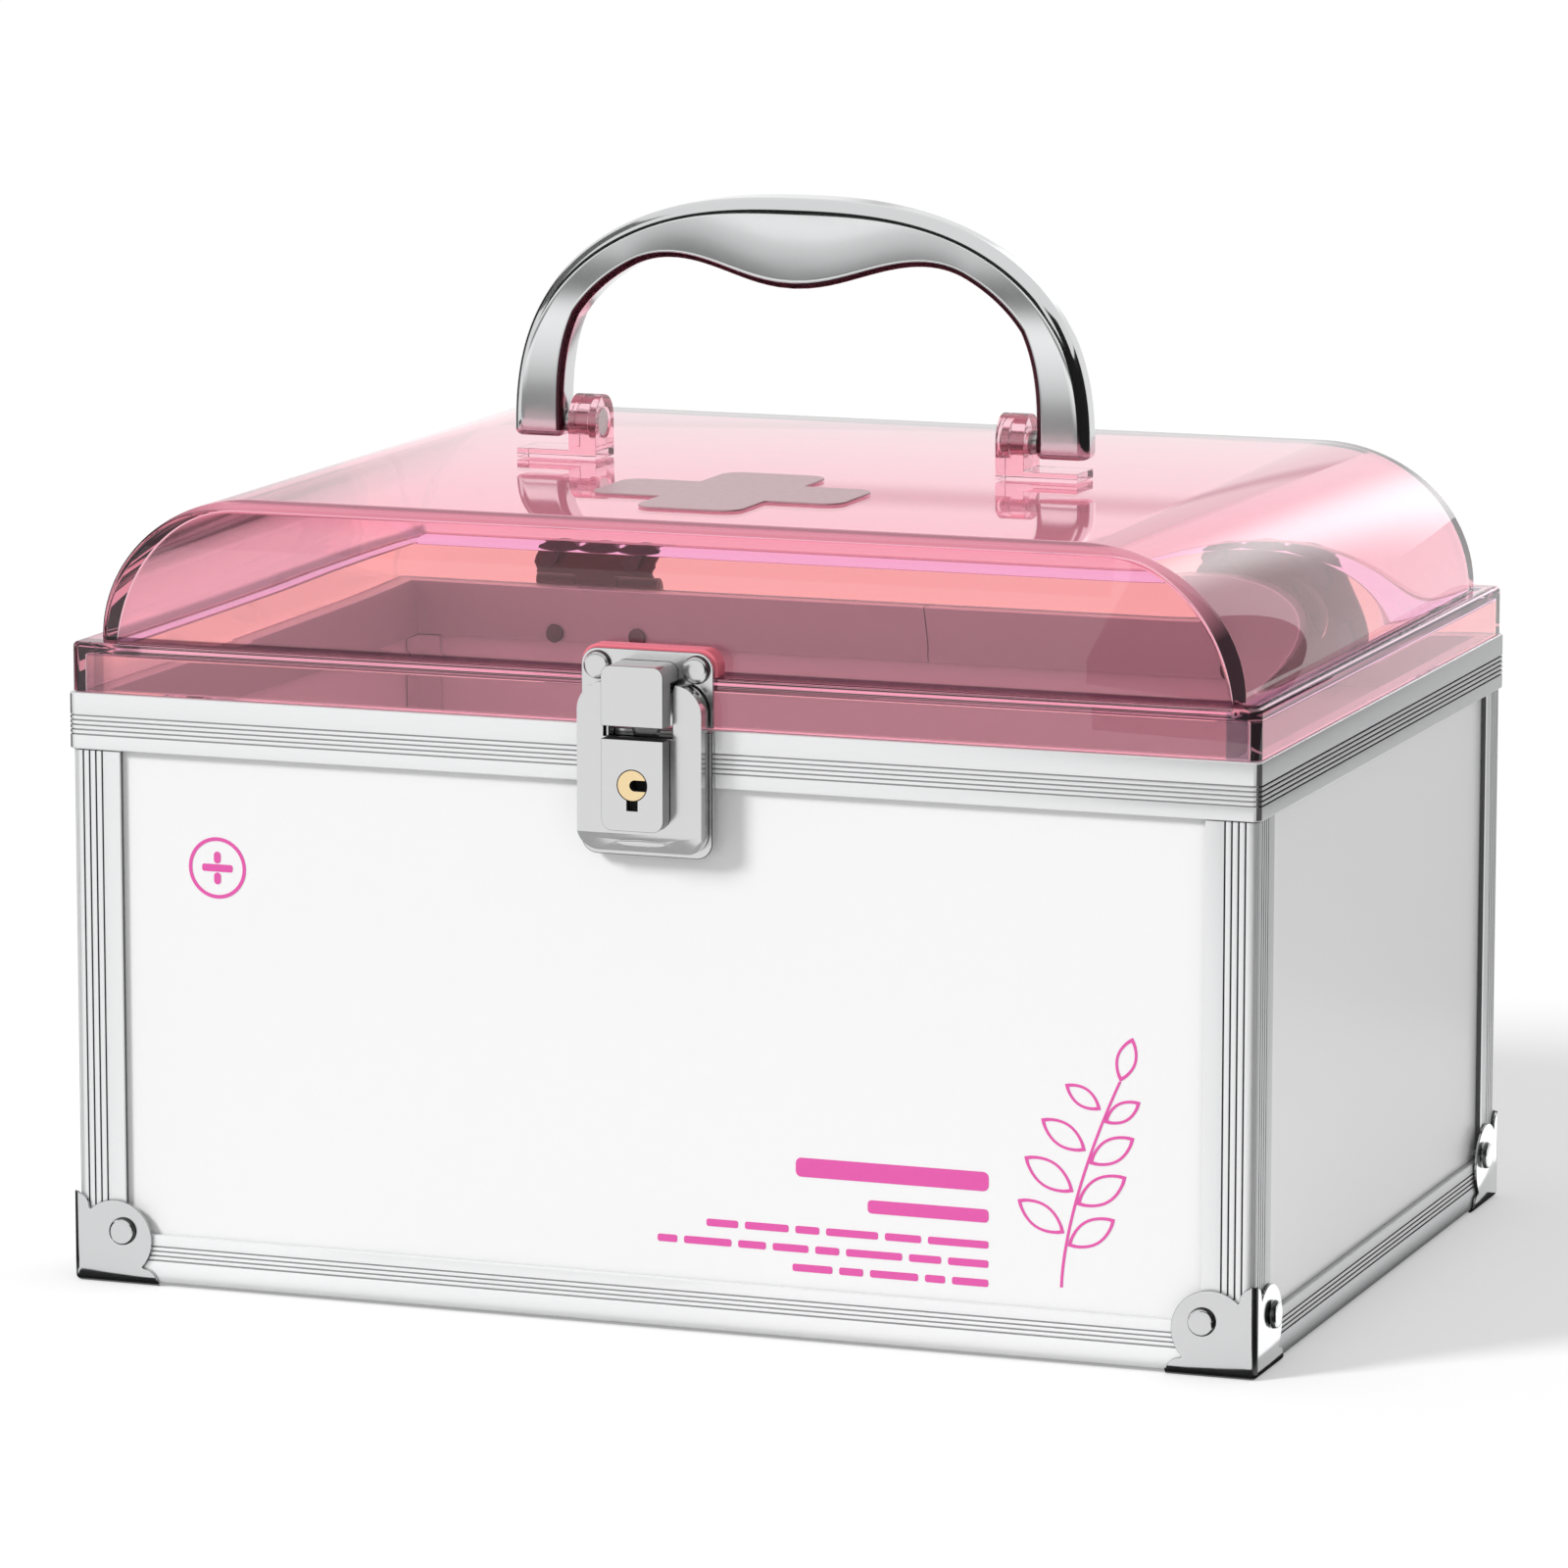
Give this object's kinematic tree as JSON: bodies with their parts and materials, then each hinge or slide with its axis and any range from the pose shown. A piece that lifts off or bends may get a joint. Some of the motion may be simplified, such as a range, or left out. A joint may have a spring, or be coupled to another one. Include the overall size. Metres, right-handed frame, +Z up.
{
  "type": "medication lock box",
  "caption": "Lockable medicine box with aluminium-framed white panels, a clear pink hinged domed lid, a swinging chrome handle and a keyed lever latch.",
  "frame": {"origin": "middle of the floor under the box, at the centre of its width and depth", "axes": "+X to the right seen from the front, +Y towards the hinges at the back, +Z up through the handle"},
  "size_m": [0.304, 0.2263, 0.26],
  "materials": {
    "panel": "satin white sheet",
    "extrusion": "brushed, clear anodised",
    "chrome": "polished",
    "satin_chrome": "satin",
    "steel": "plated",
    "brass": "polished",
    "clear_pink": "clear, tinted, glossy",
    "cross": "satin"
  },
  "bodies": {
    "box": {"bottom_panel": "panel", "front_panel": "panel", "back_panel": "panel", "left_panel": "panel", "right_panel": "panel", "top_rim": "extrusion", "corner_post_front_left": "extrusion", "corner_post_back_left": "extrusion", "corner_post_front_right": "extrusion", "corner_post_back_right": "extrusion", "bottom_rail_front": "extrusion", "bottom_rail_back": "extrusion", "bottom_rail_left": "extrusion", "bottom_rail_right": "extrusion", "corner_protector_front_left": "chrome", "corner_protector_back_left": "chrome", "corner_protector_front_right": "chrome", "corner_protector_back_right": "chrome", "corner_rivet_front_left": "chrome", "corner_rivet_back_left": "chrome", "corner_rivet_front_right": "chrome", "corner_rivet_back_right": "chrome", "corner_rivet_left_front": "chrome", "corner_rivet_left_back": "chrome", "corner_rivet_right_front": "chrome", "corner_rivet_right_back": "chrome", "hinge_lower_leaf_left": "steel", "hinge_lower_leaf_right": "steel", "hinge_pin_left": "steel", "hinge_pin_right": "steel", "hinge_rivet_left_lower_outer": "steel", "hinge_rivet_left_lower_inner": "steel", "hinge_rivet_right_lower_outer": "steel", "hinge_rivet_right_lower_inner": "steel", "latch_base_plate": "satin_chrome", "latch_base_rivet_left": "steel", "latch_base_rivet_right": "steel", "lever_pivot_pin": "steel"},
    "lid": {"lid_shell": "clear_pink", "lid_cross": "cross", "hinge_upper_leaf_left": "steel", "hinge_upper_leaf_right": "steel", "hinge_rivet_left_upper_outer": "steel", "hinge_rivet_left_upper_inner": "steel", "hinge_rivet_right_upper_outer": "steel", "hinge_rivet_right_upper_inner": "steel", "handle_bracket_left": "clear_pink", "handle_bracket_right": "clear_pink", "handle_pin_left": "steel", "handle_pin_right": "steel", "strike_plate": "satin_chrome", "strike_rivet_left": "satin_chrome", "strike_rivet_right": "satin_chrome"},
    "handle": {"handle": "chrome"},
    "latch_lever": {"latch_lever": "satin_chrome", "lock_housing": "satin_chrome"},
    "latch_claw": {"draw_claw": "steel"},
    "lock_key": {"lock_plug": "brass", "lock_cam": "steel"}
  },
  "joints": [
    {"name": "lid_hinge", "type": "hinge", "parent": "box", "child": "lid", "pos_m": [0, 0.1107, 0.1451], "axis": [-1, 0, 0], "range_deg": [0, 100]},
    {"name": "handle_swing", "type": "hinge", "parent": "lid", "child": "handle", "pos_m": [0, 0.0029, 0.2022], "axis": [1, 0, 0], "range_deg": [-88, 88]},
    {"name": "lever_lift", "type": "hinge", "parent": "box", "child": "latch_lever", "pos_m": [0, -0.1058, 0.1542], "axis": [-1, 0, 0], "range_deg": [0, 95]},
    {"name": "claw_turn", "type": "hinge", "parent": "latch_lever", "child": "latch_claw", "pos_m": [0, -0.1058, 0.1542], "axis": [1, 0, 0], "range_deg": [0, 24]},
    {"name": "key_turn", "type": "hinge", "parent": "latch_lever", "child": "lock_key", "pos_m": [0, -0.1102, 0.1328], "axis": [0, 1, 0], "range_deg": [0, 90]}
  ]
}
